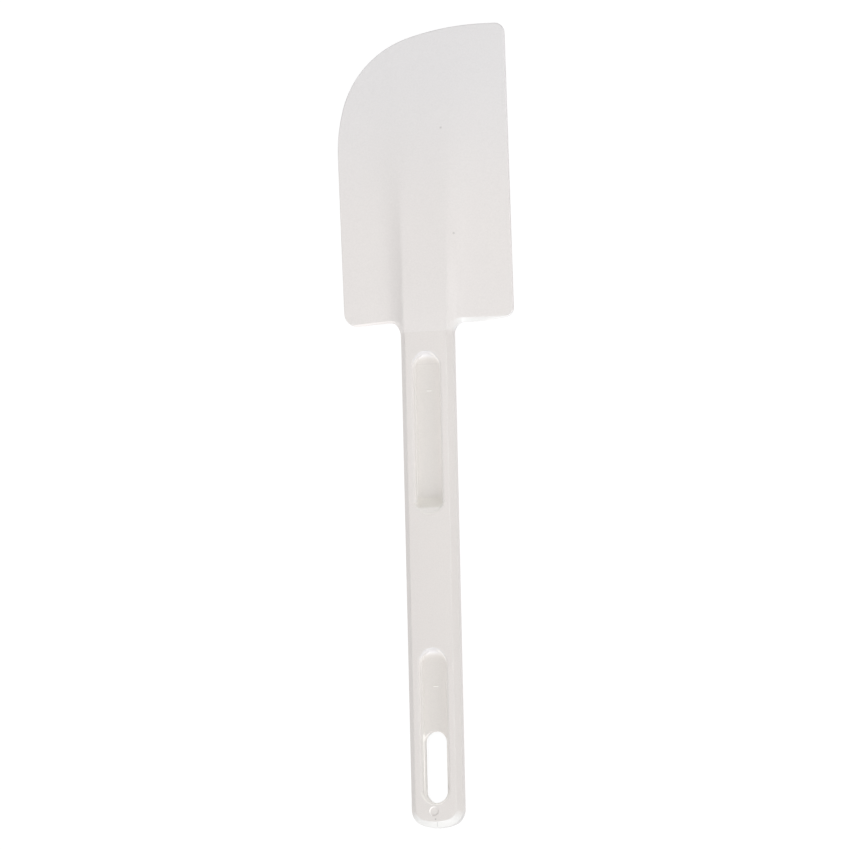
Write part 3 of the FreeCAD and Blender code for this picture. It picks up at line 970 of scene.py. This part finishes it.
# the floor marks' dashes are painted highlights
DASH_DROP = 0.2                           # the lit side of a floor mark, below its middle
DASH_ALONG = (0.18, 0.06)
DASH_ACROSS = (0.85, 0.6)
DASH_SHARE = 0.6
# painted shade in the crease at the foot of the grip pocket's scoop
CREASE_Y = 139.0
CREASE_ALONG = (0.24, 0.06)
CREASE_ACROSS = (3.5, 2.9)
CREASE_SHARE = 0.07


def new_material(name):
    material = bpy.data.materials.new(name)
    material.use_nodes = True
    material.node_tree.nodes.clear()
    return material, Graph(material.node_tree)


def finish_material(graph, shader):
    output = graph.tree.nodes.new("ShaderNodeOutputMaterial")
    graph.tree.links.new(shader.socket, output.inputs["Surface"])


class Spot:
    """What a finish reads at a point of the skin: its place in millimetres and how it is turned."""

    def __init__(self, g):
        self.g = g
        self.where = g.add("ShaderNodeTexCoord", None, None, "Object")
        self.across = g.part(self.where, 0) / MM
        self.along = g.part(self.where, 1) / MM - BUTT_Y
        above = g.part(self.where, 2) / MM - HALF_THICKNESS
        self.height = above.absolute()
        self.on_front = g.ramp(above, *FRONT_ABOVE)
        normal = g.add("ShaderNodeTexCoord", None, None, "Normal")
        self.to_right = g.part(normal, 0)
        self.to_blade = g.part(normal, 1)
        self.to_sky = g.part(normal, 2)

    def distance_from(self, x, y):
        across, along = self.across - x, self.along - y
        return (across * across + along * along).maths("SQRT")

    def noise(self, scale, detail, seed):
        settings = {"noise_dimensions": "4D"}
        inputs = {"Vector": self.where, "W": seed, "Scale": scale, "Detail": detail, "Roughness": 0.55}
        return self.g.add("ShaderNodeTexNoise", settings, inputs)


def tint(g, share, plain, tinted):
    return g.add("ShaderNodeMix", {"data_type": "RGBA"}, {"Factor": share, "A": plain, "B": tinted})


def layered(g, colour, layers):
    """A colour with tones laid over it in turn, each by its own share."""
    for share, tone in layers:
        colour = tint(g, share, colour, tone)
    return colour


def grained_skin(g, colour, cloud, grain, roughness, bump):
    """A moulded skin: fine flecks over its colour, a gloss that clouds a little, and a fine grain."""
    flecked = g.add("ShaderNodeMix", {"data_type": "RGBA", "blend_type": "MULTIPLY"},
                    {"Factor": 1.0, "A": colour, "B": g.between(grain, *FLECKS)})
    strength, depth = bump
    normal = g.add("ShaderNodeBump", None, {"Strength": strength, "Distance": depth, "Height": grain})
    shader = g.add("ShaderNodeBsdfPrincipled", None, {
        "Base Color": flecked, "Roughness": g.between(cloud, *roughness), "Normal": normal, "IOR": 1.5})
    finish_material(g, shader)


def pocket_masks(g, spot):
    """1 within the pockets, and there on their walls, on their floors, and round the slot."""
    inside = g.ramp(spot.across.absolute(), *POCKET_ACROSS) * g.ramp(spot.along, *POCKET_ALONG)
    left_wall = g.ramp(spot.to_right, *LEFT_WALL_TURN)
    right_wall = g.ramp(spot.to_right * -1, *RIGHT_WALL_TURN)
    upper_wall = g.ramp(spot.to_right, *UPPER_WALL_TURN) * g.ramp(spot.height, *UPPER_WALL_HEIGHT)
    steep = left_wall.at_least(right_wall).at_least(upper_wall * UPPER_WALL_SHARE)
    walls = steep * inside * g.ramp(spot.height, *WALL_HEIGHT)
    floors = inside * g.ramp(spot.height, *FLOOR_HEIGHT)
    ledge = g.ramp(spot.across, *SLOT_LEDGE_ACROSS)
    slot_side = g.ramp(spot.to_right, *SLOT_TURN).at_least(ledge)
    slot = inside * slot_side * g.ramp(spot.height, *SLOT_HEIGHT) * g.ramp(spot.along, *SLOT_ALONG)
    return inside, walls, floors, slot


def marks_and_painted_light(g, spot):
    """Shares and tones on the front: the mould's marks, painted highlights on the dimple's edge and the
    floor marks, and painted shade in a crease.
    """
    x, y = EJECTOR_MARK
    aside, below = CRESCENT_SHIFT
    crescent = g.ramp(spot.distance_from(x, y), *CRESCENT_OUTSIDE)
    crescent = crescent * g.ramp(spot.distance_from(x + aside, y + below), *CRESCENT_INSIDE)
    x, y = GATE_LINE_TOP
    off_line = (spot.across - x - (spot.along - y) * GATE_LINE_LEAN).absolute()
    line = g.ramp(off_line, *GATE_LINE_ACROSS)
    line = line * g.ramp(spot.along, *GATE_LINE_FOOT) * g.ramp(spot.along, *GATE_LINE_HEAD)
    gate = g.ramp(spot.distance_from(*GATE_SPOT), *GATE_SPOT_FADE)
    # the crescent is a painted highlight on the dimple's edge; the gate line and spot are dark mould
    # marks
    marks = [(crescent, LIT_EDGE_TONE), (line * GATE_LINE_SHARE, DARK_MARK_AND_SHADE_TONE),
             (gate * GATE_SPOT_SHARE, DARK_MARK_AND_SHADE_TONE)]
    for x, y in (GRIP_MARK, RECESS_MARK):
        dash = g.ramp((spot.along - (y - DASH_DROP)).absolute(), *DASH_ALONG)
        dash = dash * g.ramp((spot.across - x).absolute(), *DASH_ACROSS)
        # painted highlight on the lit side of each floor mark
        marks.append((dash * DASH_SHARE, LIT_MARK_TONE))
    # painted shade in the crease at the foot of the grip pocket's scoop
    crease = g.ramp((spot.along - CREASE_Y).absolute(), *CREASE_ALONG)
    crease = crease * g.ramp(spot.across.absolute(), *CREASE_ACROSS)
    marks.append((crease * CREASE_SHARE, DARK_MARK_AND_SHADE_TONE))
    return [(share * spot.on_front, tone) for share, tone in marks]


def handle_plastic():
    material, g = new_material("white_satin_polypropylene")
    spot = Spot(g)
    cloud = spot.noise(scale=60.0, detail=3.0, seed=0.0)
    grain = spot.noise(scale=2600.0, detail=2.0, seed=3.0)
    inside, walls, floors, slot = pocket_masks(g, spot)
    near_butt = g.ramp(spot.along, *BUTT_REACH)
    to_butt = g.ramp(spot.to_blade * -1, *BUTT_TURN)
    upright = g.ramp(spot.to_sky.absolute(), *UPRIGHT)
    risen = g.ramp(spot.to_blade, *BLADE_TURN) * inside
    rim = g.ramp(spot.height, *RIM_HEIGHT)
    slot_foot = g.ramp(spot.along, *SLOT_FOOT_ALONG)
    # painted shade across the pockets' floors, darker to the left
    floor_shade_tone = tint(g, g.ramp(spot.across, *FLOOR_ACROSS), *FLOOR_SHADE_TONES)
    colour = layered(g, tint(g, cloud, *PLASTIC_TONES), [
        # painted shade, darker towards the butt
        (near_butt, BUTT_SHADE_TONE),
        # painted highlight colour on faces turned to the butt
        (to_butt, TURNED_SHEEN_TONE),
        # painted highlight colour, toned down, on the pockets' scoops turned to the butt
        (to_butt * inside, SCOOP_SHEEN_TONE),
        # painted shade on upright faces turned to the butt
        (to_butt * upright, BUTT_END_SHADE_TONE),
        # painted shade on the pockets' floors
        (floors, floor_shade_tone),
        # painted shadow on the floors nearer the butt
        (floors * near_butt * BUTT_FLOOR_SHADE_SHARE, BUTT_FLOOR_SHADE_TONE),
        # painted light on faces in the pockets turned to the blade
        (risen, RISE_LIGHT_TONE),
        (risen * rim, RISE_RIM_LIGHT_TONE),
        (risen * slot_foot, SLOT_FOOT_LIGHT_TONE),
        # painted light on the pockets' steep walls and the slot's left side
        (walls, WALL_LIGHT_TONE),
        (slot, SLOT_LIGHT_TONE),
        *marks_and_painted_light(g, spot)])
    grained_skin(g, colour, cloud, grain, roughness=(0.34, 0.40), bump=(0.28, 0.00008))
    return material


def blade_rubber():
    material, g = new_material("white_matt_rubber")
    spot = Spot(g)
    cloud = spot.noise(scale=45.0, detail=3.0, seed=7.0)
    grain = spot.noise(scale=1900.0, detail=3.0, seed=9.0)
    # painted shade towards the tip
    tip_shade = g.ramp(spot.along, *TIP_SHADE_ALONG, smooth=True)
    # painted highlight colour at the right of the base
    right_base = g.ramp(spot.to_blade * -1, *BASE_TURN) * g.ramp(spot.across, *BASE_ACROSS)
    layers = [(tip_shade, TIP_SHADE_TONE), (right_base, BASE_SHEEN_TONE)]
    for x, y in BLADE_SPECKS:
        speck = g.ramp(spot.distance_from(x, y), *SPECK_FADE) * SPECK_SHARE
        layers.append((speck * spot.on_front, SPECK_TONE))
    colour = layered(g, tint(g, cloud, *RUBBER_TONES), layers)
    grained_skin(g, colour, cloud, grain, roughness=(0.38, 0.44), bump=(0.45, 0.0001))
    return material


# Stage, light and camera

CAMERA_TURN = math.radians(12.0)          # to the object's right
CAMERA_DROP = math.radians(6.0)           # towards the handle's end
CAMERA_LEAN = math.radians(1.2938)        # about its own line of sight
CAMERA_DISTANCE = 2.5
SENSOR_WIDTH = 36.0
VIEW_WIDTH = 0.25456                      # width of the picture at the target
TARGET = Vector((-0.00155, 0.00020, 0.004))

FLOOR_REACH = 4.0
FLOOR_DROP = 0.0001
FLOOR_TONE = (0.92, 0.92, 0.92, 1)
SHADOW_TONE = (0.14, 0.14, 0.14, 1)       # what the seen floor still takes from the lamps
FLOOR_GLOW = 0.92
WHITE = (1, 1, 1, 1)
WORLD_LIGHT = 0.4

# Direction from the target, then distance and width in metres, and power in watts
LAMPS = {
    "key": ((0.0, -0.94, 0.34), 4.0, 1.6, 84.0),
    "softbox": ((0.03, 0.06, 0.997), 1.6, 1.7, 8.0),
    "right_fill": ((0.87, 0.0, 0.5), 2.5, 1.2, 14.0),
    "left_fill": ((-0.95, 0.0, 0.31), 2.5, 1.2, 4.3),
    "top_fill": ((0.0, 0.87, 0.5), 2.5, 1.2, 5.0),
}


def view_ray(g):
    """1 for rays that show the background as it is: from the camera, mirrored or passed through."""
    path = g.tree.nodes.new("ShaderNodeLightPath")
    seen, mirrored, passed = (Value(g, path.outputs["Is %s Ray" % kind])
                              for kind in ("Camera", "Glossy", "Transmission"))
    return seen.at_least(mirrored).at_least(passed)


def make_floor():
    r = FLOOR_REACH
    mesh = bpy.data.meshes.new("floor")
    mesh.from_pydata([(-r, -r, 0), (r, -r, 0), (r, r, 0), (-r, r, 0)], [], [(0, 1, 2, 3)])
    floor = new_piece("floor", mesh)
    floor.location.z = -FLOOR_DROP
    material, g = new_material("pale_floor")
    lit = g.add("ShaderNodeBsdfDiffuse", None, {"Color": FLOOR_TONE})
    faint = g.add("ShaderNodeBsdfDiffuse", None, {"Color": SHADOW_TONE})
    glow = g.add("ShaderNodeEmission", None, {"Color": WHITE, "Strength": FLOOR_GLOW})
    seen = g.add("ShaderNodeAddShader", None, {0: faint, 1: glow})
    shader = g.add("ShaderNodeMixShader", None, {0: view_ray(g), 1: lit, 2: seen})
    finish_material(g, shader)
    mesh.materials.append(material)


def make_world():
    world = bpy.data.worlds.new("studio")
    bpy.context.scene.world = world
    world.use_nodes = True
    world.node_tree.nodes.clear()
    g = Graph(world.node_tree)
    strength = g.between(view_ray(g), WORLD_LIGHT, 1.0)
    background = g.add("ShaderNodeBackground", None, {"Color": WHITE, "Strength": strength})
    output = world.node_tree.nodes.new("ShaderNodeOutputWorld")
    world.node_tree.links.new(background.socket, output.inputs["Surface"])


def make_lamp(name, direction, distance, size, watts):
    lamp = bpy.data.lights.new(name, "AREA")
    lamp.shape = "DISK"
    lamp.size = size
    lamp.energy = watts
    holder = bpy.data.objects.new(name, lamp)
    away = Vector(direction).normalized()
    holder.location = TARGET + away * distance
    holder.rotation_euler = away.to_track_quat("Z", "Y").to_euler()
    bpy.context.scene.collection.objects.link(holder)


def make_camera():
    away = Vector((math.sin(CAMERA_TURN) * math.cos(CAMERA_DROP), -math.sin(CAMERA_DROP),
                   math.cos(CAMERA_TURN) * math.cos(CAMERA_DROP)))
    along = Vector((0, 1, 0))
    along = (along - away * along.dot(away)).normalized()
    right = along.cross(away)
    up = along * math.cos(CAMERA_LEAN) + right * math.sin(CAMERA_LEAN)
    right = up.cross(away)
    lens = bpy.data.cameras.new("camera")
    lens.sensor_width = SENSOR_WIDTH
    lens.lens = SENSOR_WIDTH * CAMERA_DISTANCE / VIEW_WIDTH
    camera = bpy.data.objects.new("camera", lens)
    turned = Matrix((right, up, away)).transposed().to_4x4()
    camera.matrix_world = Matrix.Translation(TARGET + away * CAMERA_DISTANCE) @ turned
    bpy.context.scene.collection.objects.link(camera)
    bpy.context.scene.camera = camera


handle = make_handle(handle_plastic())
blade = make_blade(blade_rubber())
for piece, node in ((handle, "handle"), (blade, "blade")):
    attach(piece, "root")
    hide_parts(node)

make_floor()
make_world()
for name, (direction, distance, size, watts) in LAMPS.items():
    make_lamp(name, direction, distance, size, watts)
make_camera()
bpy.context.scene.view_settings.view_transform = "Standard"
